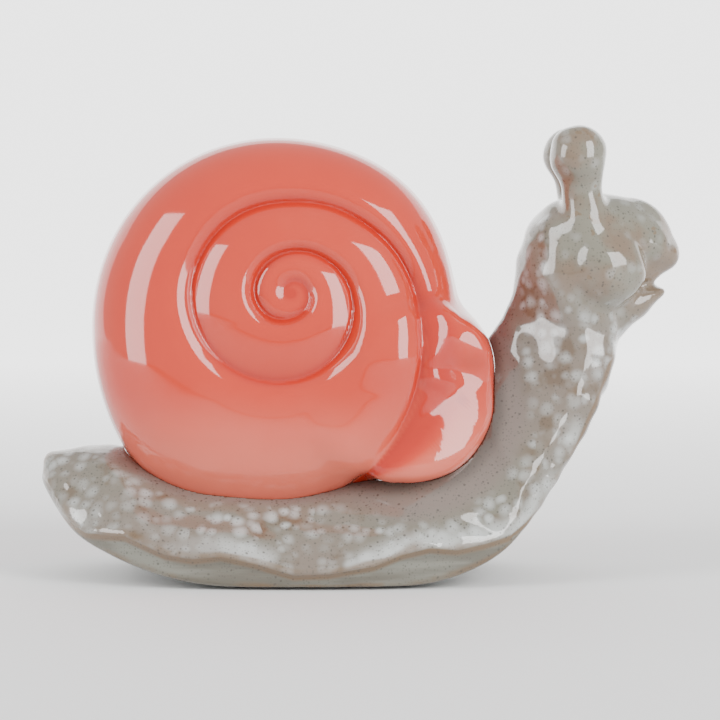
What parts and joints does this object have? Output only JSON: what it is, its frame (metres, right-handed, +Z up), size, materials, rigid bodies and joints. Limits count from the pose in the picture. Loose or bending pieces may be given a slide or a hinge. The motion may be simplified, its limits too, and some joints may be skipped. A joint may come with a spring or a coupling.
{
  "type": "snail figurine",
  "caption": "Glazed ceramic snail ornament with a coral spiral shell cemented into a grey speckled body, a raised head with eye stalks and felt pads under the foot.",
  "frame": {"origin": "middle of the part in plan, on the surface that it stands on", "axes": "+X towards the snail's head, +Y to the snail's left, +Z up; the XZ plane is the mirror plane of the body"},
  "size_m": [0.1905, 0.0844, 0.1339],
  "materials": {
    "body_glaze": "glossy reactive grey glaze with pale spots, dark pinholes and brown broken edges",
    "shell_glaze": "glossy coral glaze",
    "cement": "dull cured adhesive",
    "felt": "pressed felt"
  },
  "bodies": {
    "root": {"body": "body_glaze", "shell": "shell_glaze", "eye_stalk_left": "body_glaze", "eye_stalk_right": "body_glaze", "cement_dab_front": "cement", "cement_dab_rear": "cement", "cement_dab_left": "cement", "cement_dab_right": "cement", "felt_pad_front_left": "felt", "felt_pad_front_right": "felt", "felt_pad_rear_left": "felt", "felt_pad_rear_right": "felt"}
  },
  "joints": []
}
